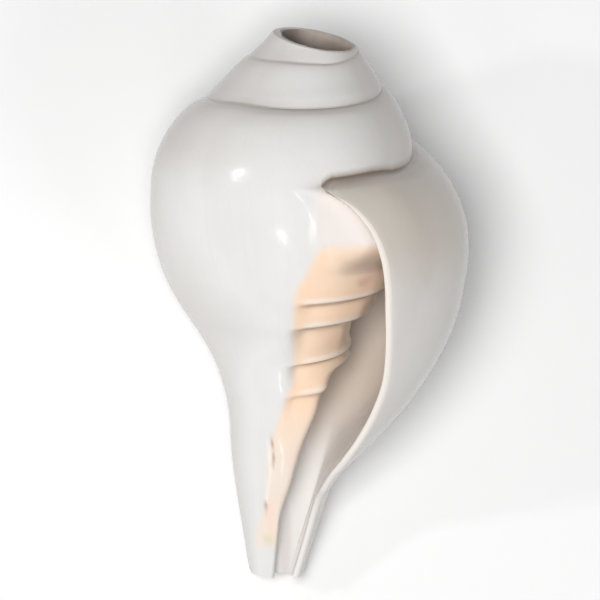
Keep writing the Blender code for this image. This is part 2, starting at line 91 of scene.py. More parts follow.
mouthForm = {
    "turn": 410,
    "profile": [  # the inner wall of the mouth, at that turn
        (43, 31.8), (46.4, 33.4), (50, 34.2), (55, 34.5), (60, 34.3), (65, 33.8), (70, 33),
        (75, 32), (81.8, 30.4), (89.2, 27.2), (94, 24), (99.4, 20.6), (108.4, 15.8), (117.9, 12),
        (127.5, 8.4), (138.4, 5.6), (149.4, 3.6), (170, 2.4),
    ],
    "growthTowardsLip": 0.4,  # of the spiral's own growth
    "side": [  # (depth, distance from the axis) of the columella's flat side
        (80, 20.5), (91, 15.2), (101.5, 11.2), (111, 7.6), (122, 5.3), (133, 2.9), (170, 2.4),
    ],
    "sideFaces": (4, 90),  # degrees past the front
    "sideFrom": (74, 92), "sideAbove": 40,
    "canalBlend": 1.5, "sideBlend": 1.2,
    "folds": [(82.8, 3, 5.5), (90.4, 4.6, 7), (101.9, 3.6, 7), (110.8, 2, 6)],  # place, drop, reach
    "foldStrength": 1.5, "foldSteepness": 5, "foldFade": 1.5,
    "foldTurns": (361, 377),
    "foldTrackTurn": 450,
    "foldTrackShare": 0.4,
    "joinTurns": (290, 374),  # where the outside turns into the wall inside the mouth
    "joinDepths": (-1, 4),  # from the suture
    "joinSlack": 0.4, "joinSlackTurns": 60,
}

callusForm = {
    "ramp": 20, "rampEnd": -1,  # degrees before the lip
    "fade": (6, 45),  # degrees behind it
    "depths": (46, 60), "gap": 1.5,
}

lipForm = {
    "turn": 12,
    "dip": 2,  # the suture turns down at its very end
    "dipTurns": (-1, 4.5),
    "sweep": [  # (depth below the lip's upper end, degrees the edge stands back)
        (0, 0), (1.5, 4.8), (3.1, 8.9), (5.4, 12.4), (9.1, 16), (12.6, 18), (18.9, 19.9), (30.2, 21.4),
        (41.8, 23.7), (57.4, 27.6), (74.8, 29.5), (82.1, 31.7), (89.4, 38.5), (92.7, 45), (96.4, 51.5),
        (101.2, 55), (106.8, 57.5), (115.8, 60), (125, 62),
    ],
    "sweepFade": 125,
    "sweepReach": 140,
    "wall": 3.1,
    "edgeWall": 2,
    "wallGrows": 70,  # degrees behind the lip
    "backWall": 1.5,  # how much thicker the wall is behind
    "backWallFrom": (95, 160), "backWallTo": (205, 275),
    "wallGrowth": 0.7,  # power of the spiral's size
    "roundness": 0.55,  # of the edge, as a share of its wall
}

hollowForm = {
    "floorTurn": 50,
    "floor": 132.4,
    "canalFloor": [
        (12, 165), (80, 165), (88, 150), (98, 138), (115, 124), (135, 113.5),
        (160, 104.5), (200, 94.5), (230, 89.5),
    ],
    "rounding": 0.16,
    "belowEnd": 165, "endClearance": 3,
    "roofStart": 0.5, "roofReach": 0.3, "roofSteps": 300,  # where the roof is looked for
}

gridForm = {
    "columns": 144,  # round one turn
    "spireEndTurn": 1470,
    "hollowEndTurn": 1100,
    "fineTurns": 190,  # beyond this the hidden hollow is coarser
    "coarseStep": 4,
    "spireRows": 34,
    "spireEvenShare": 0.35, "spirePower": 2.2,  # the rows crowd towards the suture above
    "upperRows": 26,
    "foldRows": 92, "foldSpan": (75, 118),
    "lowerRows": 30,
    "wallRows": 60,
    "edgeChains": 6,
    "edgeStopsAbove": 8,
}

sawForm = {
    "centre": Vector((3, 0, 0)),
    "normal": Vector((0.122, -0.024, 0.992)),
    "holeCentre": Vector((3.1, 0, 0)),
    "holeRadius": 10,
    "holeBottomRadius": 7.2,
    "holeDepth": 14,
    "holeSides": 96,
    "reach": 60, "blockHeight": 40,  # of the block that the saw takes away
    "nearEdgeShadowSide": (-0.8, -0.55, 0),  # the side of the hole painted darkest, as painted shadow of its near edge
}

canalEndForm = {
    "facets": [((0, -150), -1.5), ((-4.8, -148.5), -51.5), ((10.4, -148.8), 60.5)],  # ((x, z), lean)
    "reach": 40, "blockHeight": 30,
}

# The shell lies on its back, where it is a little flatter than the spiral
restForm = {
    "roll": -13.328, "pitch": -67.874,
    "wear": 0.6,  # how deep the back is worn level where it lies
    "flatTurn": 185, "flatWidth": 18, "flatDepth": 1.1,
    "flatStart": (60, 80), "flatEnd": (112, 124),
}

# where the colours sit, as seen from the front in the photo's own pixels
blushForm = {
    "edge": [  # (down, across) of the left edge of the peach colour
        (240, 330), (245, 325), (250, 320), (263, 312), (275, 307), (290, 297),
        (305, 294), (340, 294), (380, 293), (400, 286), (415, 280), (430, 275),
        (445, 270), (460, 267), (500, 265), (540, 255), (600, 250),
    ],
    "softness": (-4, 5),  # from that edge
    "start": (238, 252),  # it comes up softly from the white callus
    "end": (536, 554),
    "lowerFade": 0.45,  # and is paler down the canal
    "lowerDown": (390, 470),
    "turns": (425, 450),  # it ends inside the mouth
    "callusAcross": (312, 324), "callusDown": (236, 254),
}

crestPaint = {
    "fromEdge": (2, 18), "down": (385, 405),  # pixels
    # a painted highlight along each fold's crest (light) and a painted shadow under it (shade)
    "light": (-0.8, 0.8), "shade": (0.9, 0.55),  # mm below the crest, and width
}

mouthPaint = {
    "columellaTurns": (325, 345),
    "deepTurns": (60, 115),  # the wall inside the mouth turns from pinkish to taupe
    "deepDepths": (95, 125),
    "seamFromTurn": 372,  # the suture above the mouth starts here
    "seamBrown": [  # (turn, how brown) along the suture
        (360, 0.4), (372, 0.9), (378, 1), (430, 0.9), (445, 0.5), (480, 0.3), (660, 0.35),
        (735, 0.4), (900, 0.3), (1100, 0.2), (1500, 0.15),
    ],
    "farAway": 20,  # in mm, where no seam or lip colour reaches
    # painted shade: the outside close behind the lip is darkened taupe, most on its upper part
    "lipSideBehind": (25, 130), "lipSideDepths": (45, 68), "lipSideDrop": 0.8,
    "lipToneDown": (430, 505), "lipToneDrop": 0.85,  # the lip's cream edge fades down the canal
    "outerTurns": 200,  # the lip's own outside ends here
    "spireDepths": (28, 45),
    "growthFrom": 56, "growthReach": 125,
}

# touches on the columella and the callus, some of them painted shadow and one a painted highlight: half width
# and a line of (across, down) points, in the same pixels
strokePaint = {
    "brownAndShadow": [
        # painted shadow: the dark spot where the hollow opens under the lip
        (1.8, [(381, 262), (381, 268)]),
        (0.9, [(271, 434), (273, 450), (274, 466)]),
        (1.8, [(266, 502), (266, 510)]),
    ],
    "rosyAndShadow": [
        # painted shadow: the soft pinkish-brown diagonal under the lip
        (4.5, [(379, 272), (362, 283)]),
        (3, [(376, 300), (366, 308), (362, 316)]),
    ],
    "creamAndHighlight": [
        # painted highlight: the bright streak down the callus edge
        (1.6, [(314, 192), (312, 220), (313, 250)]),
        (1, [(268, 440), (270, 470), (267, 500)]),
        (1, [(280, 440), (283, 456), (282, 470)]),
    ],
    "pink": [(8, [(370, 260), (373, 273)]), (3.4, [(272, 505), (271, 532)])],
    "olive": [(3.6, [(267, 538), (271, 542)])],
}


def smoothStep(value, low, high):
    share = np.clip((np.asarray(value, float) - low) / (high - low), 0, 1)
    return share * share * (3 - 2 * share)


def fadeOut(value, low, high):
    return 1 - smoothStep(value, low, high)


def bump(value, centre, width):
    return np.exp(-((np.asarray(value, float) - centre) / width) ** 2)


def smoothCurve(knots):
    # a curve through the knots that never overshoots them
    x, y = np.array(knots, float).T
    step = np.diff(x)
    slope = np.diff(y) / step
    bend = np.zeros_like(x)
    bend[0], bend[-1] = slope[0], slope[-1]
    sameWay = slope[:-1] * slope[1:] > 0
    bend[1:-1][sameWay] = 2 * (slope[:-1] * slope[1:])[sameWay] / (slope[:-1] + slope[1:])[sameWay]

    def curve(value):
        value = np.asarray(value, float)
        at = np.clip(np.searchsorted(x, value) - 1, 0, len(step) - 1)
        t = (value - x[at]) / step[at]
        inside = np.clip(t, 0, 1)
        a = (1 + 2 * inside) * (1 - inside) ** 2
        b = inside * (1 - inside) ** 2
        c = inside * inside * (3 - 2 * inside)
        d = inside * inside * (inside - 1)
        result = a * y[at] + b * step[at] * bend[at] + c * y[at + 1] + d * step[at] * bend[at + 1]
        result = result + np.where(t > 1, (value - x[-1]) * bend[-1], 0)
        return result + np.where(t < 0, (value - x[0]) * bend[0], 0)

    return curve


whorlProfile = smoothCurve(whorlForm["profile"])
spireSide = smoothCurve(whorlForm["spireSide"])
basePinch = smoothCurve(whorlForm["basePinch"])
sutureSway = smoothCurve(whorlForm["sutureSway"])
mouthProfile = smoothCurve(mouthForm["profile"])
columellaSide = smoothCurve(mouthForm["side"])
lipSweep = smoothCurve(lipForm["sweep"])
canalFloor = smoothCurve(hollowForm["canalFloor"])
blushEdge = smoothCurve(blushForm["edge"])
seamBrown = smoothCurve(mouthPaint["seamBrown"])
lipTurn = lipForm["turn"]
tipAboveSaw = whorlForm["tipAboveSaw"]


def sizeAt(turn, reference=whorlForm["referenceTurn"]):
    return whorlForm["halfTurnGrowth"] ** ((reference - np.asarray(turn, float)) / 180)


def sutureDepth(turn):
    start, end = lipForm["dipTurns"]
    dip = lipForm["dip"] * fadeOut(turn, lipTurn + start, lipTurn + end)
    return whorlForm["sutureBelowPoint"] * sizeAt(turn) - tipAboveSaw + dip + sutureSway(turn)


def lipStandsBack(depth):
    # degrees that the lip's edge lies back at this depth
    return lipSweep(np.clip(depth - sutureDepth(lipTurn), 0, lipForm["sweepReach"]))


def foldSize(turn):
    # near the mouth the folds climb slower than the spiral
    middle, switch = mouthForm["turn"], mouthForm["foldTrackTurn"]
    slow = middle + mouthForm["foldTrackShare"] * (np.asarray(turn, float) - middle)
    atSwitch = middle + mouthForm["foldTrackShare"] * (switch - middle)
    return sizeAt(np.where(turn < switch, slow, atSwitch + (turn - switch)), middle)


def foldRelief(turn, depth):
    # each fold rises slowly from above to a crest and drops away sharply under it
    scale = foldSize(turn)
    place = (depth + tipAboveSaw) / scale
    relief = np.zeros_like(place)
    for crest, drop, reach in mouthForm["folds"]:
        below = np.clip((place - crest) / reach, 0, None)
        step = drop * (1 - np.exp(-below * mouthForm["foldSteepness"]))
        relief = relief - step * np.exp(-below * mouthForm["foldFade"]) * mouthForm["foldStrength"]
    return relief * scale * smoothStep(turn, *mouthForm["foldTurns"])


def softMost(first, second, blend):
    return np.maximum(first, second) + blend * np.log1p(np.exp(-np.abs(first - second) / blend))


def canalRadius(turn, depth):
    below = np.minimum(depth, whorlForm["length"] + 5) - canalForm["station"]
    middle = canalForm["radius"] - canalForm["taper"] * below
    dent = canalForm["dent"] * bump(depth, canalForm["dentDepth"], canalForm["dentReach"])
    toRight = np.sin(np.radians(turn))
    radius = middle + canalForm["toRight"] * toRight - dent * (1 - toRight) / 2
    return radius * smoothStep(depth, *canalForm["comesIn"])


def outerWhorl(turn, depth):
    scale = sizeAt(turn)
    place = (depth + tipAboveSaw) / scale
    straight = smoothStep(turn, *whorlForm["spireSideTurns"]) * fadeOut(place, *whorlForm["spireSideFade"])
    place = place - sutureSway(turn) / scale * fadeOut(place, *whorlForm["swayFade"])
    whorl = scale * (whorlProfile(place) * (1 - straight) + spireSide(place) * straight)
    whorl = whorl - basePinch(place) * fadeOut(turn, *whorlForm["pinchTurns"])
    whorl = whorl - whorlForm["topDraw"] * fadeOut(depth, 0, whorlForm["topDrawDepth"])
    along = smoothStep(place, *restForm["flatStart"]) * fadeOut(place, *restForm["flatEnd"])
    whorl = whorl - restForm["flatDepth"] * along * bump(turn, restForm["flatTurn"], restForm["flatWidth"])
    blend = canalForm["blend"] + canalForm["blendToRight"] * np.sin(np.radians(turn))
    return softMost(whorl, canalRadius(turn, depth), blend)


def slant(form, turn, depth):
    # how much longer the slanting wall is than its height
    slope = (form(turn, depth + slopeStep) - form(turn, depth - slopeStep)) / (2 * slopeStep)
    return np.sqrt(1 + slope * slope)


def callusRise(turn, depth, radius):
    # the callus fills the corner under the lip's upper end, almost up to the lip
    behindLip = turn - 360 - lipTurn - lipStandsBack(depth)
    share = smoothStep(behindLip, -callusForm["ramp"], callusForm["rampEnd"])
    share = share * fadeOut(behindLip, *callusForm["fade"]) * fadeOut(depth, *callusForm["depths"])
    above = turn - 360
    underLip = outerWhorl(above, depth) - wallAt(above) * slant(outerWhorl, above, depth)
    return share * np.clip(underLip - callusForm["gap"] - radius, 0, None)


def innerWall(turn, depth):
    # the glazed wall inside the mouth, and the columella with its folds
    middle = mouthForm["turn"]
    before = np.minimum(turn - middle, 0)
    scale = sizeAt(np.maximum(turn, middle) + mouthForm["growthTowardsLip"] * before, middle)
    rounded = scale * mouthProfile((depth + tipAboveSaw) / scale)
    canal = canalRadius(np.minimum(turn, canalForm["inMouthTo"]), depth)
    rounded = softMost(rounded, canal, mouthForm["canalBlend"])
    facing = np.sin(np.radians(np.clip(turn - 360, *mouthForm["sideFaces"])))
    flat = columellaSide(depth) / facing + mouthForm["sideAbove"] * fadeOut(depth, *mouthForm["sideFrom"])
    return foldRelief(turn, depth) - softMost(-rounded, -flat, mouthForm["sideBlend"])


def surface(turn, depth):
    turn, depth = np.broadcast_arrays(np.asarray(turn, float), np.asarray(depth, float))
    nextSuture = sutureDepth(turn - 360)
    above, below = mouthForm["joinDepths"]
    early = np.clip(mouthForm["joinTurns"][1] - turn, 0, mouthForm["joinSlackTurns"])
    share = smoothStep(turn, *mouthForm["joinTurns"])
    share = share * smoothStep(depth, nextSuture + above, nextSuture + below + mouthForm["joinSlack"] * early)
    radius = (1 - share) * outerWhorl(turn, depth) + share * innerWall(turn, depth)
    return radius + callusRise(turn, depth, radius)


def wallAt(turn):
    grown = smoothStep(turn, lipTurn, lipTurn + lipForm["wallGrows"])
    behind = smoothStep(turn, *lipForm["backWallFrom"]) * fadeOut(turn, *lipForm["backWallTo"])
    thickness = lipForm["edgeWall"] + (lipForm["wall"] - lipForm["edgeWall"]) * grown
    thickness = thickness + lipForm["backWall"] * behind
    return thickness * np.clip(sizeAt(turn), 0, 1) ** lipForm["wallGrowth"]


def wallInside(turn, depth, thickness):
    return surface(turn, depth) - thickness * slant(surface, turn, depth)


def floorDepth(turn):
    spiral = hollowForm["floor"] * sizeAt(turn, hollowForm["floorTurn"]) - tipAboveSaw
    return float(np.where(turn < hollowForm["canalFloor"][-1][0], canalFloor(turn), spiral))


def roofDepth(turn):
    # the highest point of the hollow, where the wall leaves the turn before it
    top = float(sutureDepth(turn))
    reach = hollowForm["roofReach"] * (top + tipAboveSaw)
    samples = np.linspace(top + hollowForm["roofStart"], top + reach, hollowForm["roofSteps"])
    width = wallInside(turn, samples, wallAt(turn)) - surface(turn + 360, samples)
    first = int(np.nonzero(width > 0)[0][0])
    if first == 0:
        return float(samples[0])
    before, step = samples[first - 1], samples[first] - samples[first - 1]
    return float(before + step * -width[first - 1] / (width[first] - width[first - 1]))


def sweptTurn(turn, depth):
    # the lip's slant: the turn at which a column's point of this depth really lies
    return turn + lipStandsBack(depth) * fadeOut(turn, lipTurn, lipTurn + lipForm["sweepFade"])


def placed(turn, depth, radius):
    angle = np.radians(turn)
    x = radius * np.sin(angle) + whorlForm["topShift"] * fadeOut(depth, 0, whorlForm["topShiftDepth"])
    return np.stack([x, -radius * np.cos(angle), -np.asarray(depth, float)], axis=-1)


class ShellMesh:
    # collects points, faces and what each point is: its turn, its depth and how far it is inside
    def __init__(self):
        self.points = []
        self.marks = []
        self.faces = []
        self.count = 0

    def addColumn(self, points, turn, depth, inside):
        names = list(range(self.count, self.count + len(points)))
        self.count += len(points)
        self.points.append(np.asarray(points, float))
        self.marks.append(np.stack(np.broadcast_arrays(turn, depth, float(inside)), axis=-1))
        return names

    def fill(self, left, right):
        for row in range(len(left) - 1):
            self.faces.append((left[row], left[row + 1], right[row + 1], right[row]))

    def zip(self, left, right, leftDepth, rightDepth):
        i = j = 0
        while i < len(left) - 1 or j < len(right) - 1:
            if j == len(right) - 1 or (i < len(left) - 1 and leftDepth[i + 1] <= rightDepth[j + 1]):
                face = (left[i], left[i + 1], right[j])
                i += 1
            else:
                face = (left[i], right[j + 1], right[j])
                j += 1
            if len(set(face)) == 3:
                self.faces.append(face)


def spireColumn(turn):
    rows = np.linspace(0, 1, gridForm["spireRows"] + 1)
    even = gridForm["spireEvenShare"]
    share = even * rows + (1 - even) * rows ** gridForm["spirePower"]
    top, bottom = float(sutureDepth(turn)), float(sutureDepth(turn - 360))
    depth = top + share * (bottom - top)
    trueTurn = sweptTurn(turn, depth)
    radius = surface(trueTurn, depth)
    foot = float(surface(turn + 360, top))
    rise = np.exp(-(depth - top) / (whorlForm["shoulderRound"] * max(float(sizeAt(turn)), 0.4)))
    radius = radius - (radius[0] - foot) * rise
    return trueTurn, depth, radius


def bodyDepths(turn):
    top = float(sutureDepth(turn - 360))
    tubeTurn = max(turn - 360, lipTurn)
    foot = top + roofDepth(tubeTurn) - float(sutureDepth(tubeTurn))
    places = np.linspace(*gridForm["foldSpan"], gridForm["foldRows"])
    folds = places * float(foldSize(turn)) - tipAboveSaw
    upper = np.linspace(foot, folds[0], gridForm["upperRows"], endpoint=False)
    lower = np.linspace(folds[-1], floorDepth(tubeTurn), gridForm["lowerRows"] + 1)[1:]
    return np.concatenate([upper, folds, lower])


def wallColumn(turn):
    roof, floor = roofDepth(turn), floorDepth(turn)
    rows = np.linspace(0, 1, gridForm["wallRows"] + 1)
    share = 0.5 - 0.5 * np.cos(np.pi * rows)
    depth = roof + share * (floor - roof)
    rounding = hollowForm["rounding"] * (floor - roof)
    if floor > whorlForm["length"]:
        rounding = hollowForm["belowEnd"] - whorlForm["length"] - hollowForm["endClearance"]
    up = np.clip((floor - depth) / rounding, 0, 1)
    cap = np.sqrt(up * (2 - up))
    trueTurn = turn + (sweptTurn(turn, depth) - turn) * cap
    inner = surface(trueTurn + 360, depth)
    outer = wallInside(trueTurn, depth, wallAt(turn))
    return trueTurn, depth, inner + np.maximum(outer - inner, 0) * cap


def growShell():
    mesh = ShellMesh()
    once = gridForm["columns"]
    step = 360 / once

    # the outside of the spire: the lowest row of each turn is the suture of the turn after it
    spireCount = int(round((gridForm["spireEndTurn"] - lipTurn) / step)) + 1
    spire, spireDepth = [], []
    for column in range(spireCount):
        turn, depth, radius = spireColumn(lipTurn + column * step)
        points = placed(turn, depth, radius)
        if column >= once:
            names = mesh.addColumn(points[:-1], turn[:-1], depth[:-1], 0) + [spire[column - once][0]]
        else:
            names = mesh.addColumn(points, turn, depth, 0)
        spire.append(names)
        spireDepth.append(depth)
    for column in range(spireCount - 1):
        mesh.fill(spire[column], spire[column + 1])
    print("Spire grown:", spireCount, "columns")

    # the outside of the last turn, running on into the mouth as the wall of the turn before
    hollowCount = int(round((gridForm["hollowEndTurn"] - lipTurn) / step)) + 1
    fineEnd = once + int(gridForm["fineTurns"] / step)
    columns = list(range(once + 1))
    inside = [column for column in range(once + 1, once + hollowCount)
              if column <= fineEnd or (column - fineEnd) % gridForm["coarseStep"] == 0]
    body, bodyDepth = {}, {}
    for column in columns + inside:
        turn = lipTurn + column * step
        depth = bodyDepths(turn)
        trueTurn = sweptTurn(turn, depth)
        points = placed(trueTurn, depth, surface(trueTurn, depth))
        body[column] = mesh.addColumn(points, trueTurn, depth, 0)
        bodyDepth[column] = depth
    for column in columns:
        body[column].insert(0, spire[column][-1])
        bodyDepth[column] = np.insert(bodyDepth[column], 0, spireDepth[column][-1])
    for left, right in zip(columns[:-1], columns[1:]):
        mesh.fill(body[left], body[right])
    mesh.fill(body[once][1:], body[inside[0]])
    for left, right in zip(inside[:-1], inside[1:]):
        mesh.fill(body[left], body[right])
    print("Body and columella grown:", len(columns) + len(inside), "columns")

    # the inside of the wall, sharing its first and last rows with the wall of the turn before
    wall, wallDepth = [], []
    for column in [once] + inside:
        turn, depth, radius = wallColumn(lipTurn + (column - once) * step)
        partner = body[column][1:] if column == once else body[column]
        middle = mesh.addColumn(placed(turn, depth, radius)[1:-1], turn[1:-1], depth[1:-1], 1)
        wall.append([partner[0]] + middle + [partner[-1]])
        wallDepth.append(depth)
    for left, right in zip(wall[:-1], wall[1:]):
        mesh.fill(right, left)
    mesh.zip(wall[-1], body[inside[-1]], wallDepth[-1], bodyDepth[inside[-1]])

    # the rounded edge of the lip
    outer = spire[0] + body[0][1:]
    outerDepth = np.concatenate([spireDepth[0], bodyDepth[0][1:]])
    inner, innerDepth = wall[0], wallDepth[0]
    lowest = innerDepth[-1] - gridForm["edgeStopsAbove"]
    edgeDepth = np.array([depth for depth in outerDepth if innerDepth[0] < depth < lowest])
    edgeTurn = sweptTurn(lipTurn, edgeDepth)
    outside = surface(edgeTurn, edgeDepth)
    within = wallInside(edgeTurn, edgeDepth, lipForm["edgeWall"])
    chains = gridForm["edgeChains"]
    previous = None
    for chain in range(1, chains):
        angle = math.pi * chain / chains
        radius = outside + (within - outside) * (1 - math.cos(angle)) / 2
        forward = np.degrees(lipForm["roundness"] * lipForm["edgeWall"] * math.sin(angle) / radius)
        points = placed(edgeTurn - forward, edgeDepth, radius)
        names = mesh.addColumn(points, edgeTurn, edgeDepth, chain / chains)
        if previous is None:
            mesh.zip(names, outer, edgeDepth, outerDepth)
            mesh.faces.append((outer[-1], names[-1], inner[-1]))
        else:
            mesh.fill(names, previous)
            mesh.faces.append((previous[-1], names[-1], inner[-1]))
            mesh.faces.append((outer[0], names[0], previous[0]))
        previous = names
    mesh.zip(inner, previous, innerDepth, edgeDepth)
    mesh.faces.append((outer[0], inner[0], previous[0]))
    print("Wall and lip grown:", len(wall), "columns")

    # closing faces above the saw cut and below the canal's end, both cut away later
    points = np.concatenate(mesh.points)
    marks = np.concatenate(mesh.marks)
    top = [spire[column][0] for column in range(spireCount - once - 1, spireCount)] + spire[-1][1:-1]
    bottom = [body[column][-1] for column in columns]
    tips = []
    for ringNames, facing in ((top, 1), (bottom, -1)):
        tips.append(points[ringNames].mean(axis=0))
        tip = len(points) + len(tips) - 1
        for start, end in zip(ringNames, ringNames[1:] + ringNames[:1]):
            mesh.faces.append((start, end, tip)[::facing])
    points = np.concatenate([points, tips])
    marks = np.concatenate([marks, np.zeros((len(tips), 3))])
    return points, marks, mesh.faces


def ringPoints(centre, normal, radius, count, offset):
    across = normal.cross(Vector((0, 1, 0))).normalized()
    along = normal.cross(across)
    angles = [2 * math.pi * number / count for number in range(count)]
    return [centre + normal * offset + (across * math.cos(angle) + along * math.sin(angle)) * radius
            for angle in angles]


def cutAway(shell, name, centre, normal, ends, count, material):
    # takes away a block or cone with a ring of points at each end: (radius, distance along the normal)
    points = [point for radius, offset in ends for point in ringPoints(centre, normal, radius, count, offset)]
    faces = [tuple(reversed(range(count))), tuple(range(count, 2 * count))]
    for first in range(count):
        second = (first + 1) % count
        faces.append((first, second, count + second, count + first))
    data = bpy.data.meshes.new(name)
    data.from_pydata([tuple(point * mm) for point in points], [], faces)
    data.materials.append(material)
    tool = bpy.data.objects.new(name, data)
    tool.hide_render = True
    tool.display_type = "WIRE"
    bpy.context.collection.objects.link(tool)
    modifier = shell.modifiers.new(name, "BOOLEAN")
    modifier.operation = "DIFFERENCE"
    modifier.solver = "EXACT"
    modifier.material_mode = "TRANSFER"
    modifier.object = tool
    graph = bpy.context.evaluated_depsgraph_get()
    result = bpy.data.meshes.new_from_object(shell.evaluated_get(graph))
    shell.modifiers.clear()
    shell.data = result
    bpy.data.objects.remove(tool)


def cutEnds(shell, sawnFace, wornFace):
    normal = sawForm["normal"].normalized()
    block = [(sawForm["reach"], 0), (sawForm["reach"], sawForm["blockHeight"])]
    cutAway(shell, "saw", sawForm["centre"], normal, block, 4, sawnFace)
    block = [(canalEndForm["reach"], 0), (canalEndForm["reach"], canalEndForm["blockHeight"])]
    for number, ((x, z), lean) in enumerate(canalEndForm["facets"]):
        facing = Vector((math.sin(math.radians(lean)), 0, -math.cos(math.radians(lean))))
        cutAway(shell, "canal end %d" % number, Vector((x, 0, z)), facing, block, 4, wornFace)
    cone = [(sawForm["holeBottomRadius"], -sawForm["holeDepth"]), (sawForm["holeRadius"] + 0.3, 2)]
    cutAway(shell, "blow hole", sawForm["holeCentre"], normal, cone, sawForm["holeSides"], sawnFace)
    print("Ends cut:", len(shell.data.vertices), "points")


photoView = {
    "elevation": 12,  # above the mouth's own level, in the shell's frame
    "roll": 4.35,
    "mmPerPixel": 1 / 3.64,
    "side": 600,  # of the photo, in pixels
    "centre": (306, 39),  # where the sawn face's middle is in the photo
    "distance": 2,  # of the camera, in metres
}


def photoDirections():
    # across, up and towards the viewer in the shell's own frame
    elevation, roll = math.radians(photoView["elevation"]), math.radians(photoView["roll"])
    towards = Vector((0, -math.cos(elevation), math.sin(elevation)))
    level = (-towards).cross(Vector((0, 0, 1))).normalized()
    above = level.cross(-towards)
    across = level * math.cos(roll) + above * math.sin(roll)
    upward = above * math.cos(roll) - level * math.sin(roll)
    return across, upward, towards


def photoAxes(laidDown):
    across, upward, towards = photoDirections()
    turned = laidDown.to_3x3()
    scale, half = photoView["mmPerPixel"] * mm, photoView["side"] / 2
    centreAcross, centreDown = photoView["centre"]
    middle = -across * (centreAcross - half) * scale + upward * (centreDown - half) * scale
    return turned @ across, turned @ upward, turned @ towards, laidDown @ middle


def seenFromFront(place):
    # across and down as the photo shows them, in its pixels
    across, upward, towards = photoDirections()
    centre = photoView["centre"]
    return (centre[0] + place @ np.array(across) / photoView["mmPerPixel"],
            centre[1] - place @ np.array(upward) / photoView["mmPerPixel"])


def cornersOf(shell):
    return np.array([vertex.co[:] for vertex in shell.data.vertices])


def strokeMask(across, down, strokes):
    # soft strokes along lines of points, each with its own half width
    mask = np.zeros_like(down)
    for halfWidth, line in strokes:
        for (startAcross, startDown), (endAcross, endDown) in zip(line[:-1], line[1:]):
            stepAcross, stepDown = endAcross - startAcross, endDown - startDown
            share = (across - startAcross) * stepAcross + (down - startDown) * stepDown
            share = np.clip(share / (stepAcross ** 2 + stepDown ** 2), 0, 1)
            away = np.hypot(across - startAcross - share * stepAcross, down - startDown - share * stepDown)
            mask = np.maximum(mask, np.exp(-(away / halfWidth) ** 2))
    return mask


def columellaMarks(turn, depth, columella, across, down):
    edge = blushEdge(down)
    softStart, softEnd = blushForm["softness"]
    blush = columella * smoothStep(across, edge + softStart, edge + softEnd)
    blush = blush * smoothStep(down, *blushForm["start"]) * fadeOut(down, *blushForm["end"])
    blush = blush * fadeOut(turn, *blushForm["turns"])
    blush = blush * (1 - blushForm["lowerFade"] * smoothStep(down, *blushForm["lowerDown"]))
    callus = columella * smoothStep(across, *blushForm["callusAcross"])
    near, far = crestPaint["fromEdge"]
    onFold = columella * smoothStep(across, edge + near, edge + far) * fadeOut(down, *crestPaint["down"])
    light, shade = np.zeros_like(depth), np.zeros_like(depth)
    # a painted highlight along each crest and a painted shadow just under it
    for crest, drop, reach in mouthForm["folds"]:
        below = depth + tipAboveSaw - crest * foldSize(turn)
        light = np.maximum(light, bump(below, *crestPaint["light"]))
        shade = np.maximum(shade, bump(below, *crestPaint["shade"]))
    found = {name + "Stroke": columella * strokeMask(across, down, strokePaint[name]) for name in strokePaint}
    found.update(blush=blush, callus=callus * fadeOut(down, *blushForm["callusDown"]),
                 crestLight=light * onFold, crestShade=shade * onFold)
    return found


def lipMarks(turn, depth, inside, place, down):
    far, outer = mouthPaint["farAway"], mouthPaint["outerTurns"]
    own = np.abs(depth - sutureDepth(turn))
    under = np.where(turn < mouthPaint["seamFromTurn"], far, np.abs(depth - sutureDepth(turn - 360)))
    behindLip = turn - lipTurn - lipStandsBack(depth)
    around = np.hypot(place[:, 0], place[:, 1]) * math.pi / 180
    # painted shade on the outside close behind the lip, weaker lower down
    lipSideShade = fadeOut(behindLip, *mouthPaint["lipSideBehind"]) * (turn < outer)
    below = mouthPaint["lipSideDrop"] * smoothStep(depth, *mouthPaint["lipSideDepths"])
    return {
        "seamDistance": np.where(inside > 0, far, np.minimum(np.minimum(under, own), far)),
        "seamBrown": seamBrown(np.where(own < under, turn + 360, turn)),
        "lipDistance": np.clip(behindLip * around, -far, far) + 2 * far * (turn > outer),
        "lipSideShade": lipSideShade * (1 - below),
        "lipTone": 1 - mouthPaint["lipToneDrop"] * smoothStep(down, *mouthPaint["lipToneDown"]),
    }


def sawnEndMarks(place):
    normal, centre = np.array(sawForm["normal"].normalized()), np.array(sawForm["centre"])
    below = (place - centre) @ -normal
    aside = np.linalg.norm(place - np.array(sawForm["holeCentre"]) + np.outer(below, normal), axis=1)
    return {"belowSaw": below, "pastHole": aside - sawForm["holeRadius"],
            "holeSide": (place - centre) @ np.array(sawForm["nearEdgeShadowSide"])}


def markSurface(shell, grown, marks):
    # what each point is: cut points take the marks of the grown point nearest to them
    tree = KDTree(len(grown))
    for number, point in enumerate(grown):
        tree.insert(point * mm, number)
    tree.balance()
    turn, depth, inside = marks[[tree.find(vertex.co)[1] for vertex in shell.data.vertices]].T
    place = cornersOf(shell) / mm
    across, down = seenFromFront(place)
    columella = smoothStep(turn, *mouthPaint["columellaTurns"]) * (depth > sutureDepth(turn - 360))
    belowPoint = (depth + tipAboveSaw) / sizeAt(turn) - mouthPaint["growthFrom"]
    deep = smoothStep(turn, *mouthPaint["deepTurns"]) * fadeOut(depth, *mouthPaint["deepDepths"])
    found = {
        "inside": inside, "depth": depth, "deep": deep, "spire": fadeOut(depth, *mouthPaint["spireDepths"]),
        "growth": turn - lipSweep(np.clip(belowPoint, 0, mouthPaint["growthReach"])),
        **columellaMarks(turn, depth, columella * (1 - inside), across, down),
        **lipMarks(turn, depth, inside, place, down), **sawnEndMarks(place),
    }
    for name, values in found.items():
        mark = shell.data.attributes.new(name, "FLOAT", "POINT")
        mark.data.foreach_set("value", np.asarray(values, np.float32))
    print("Surface marked:", len(turn), "points")


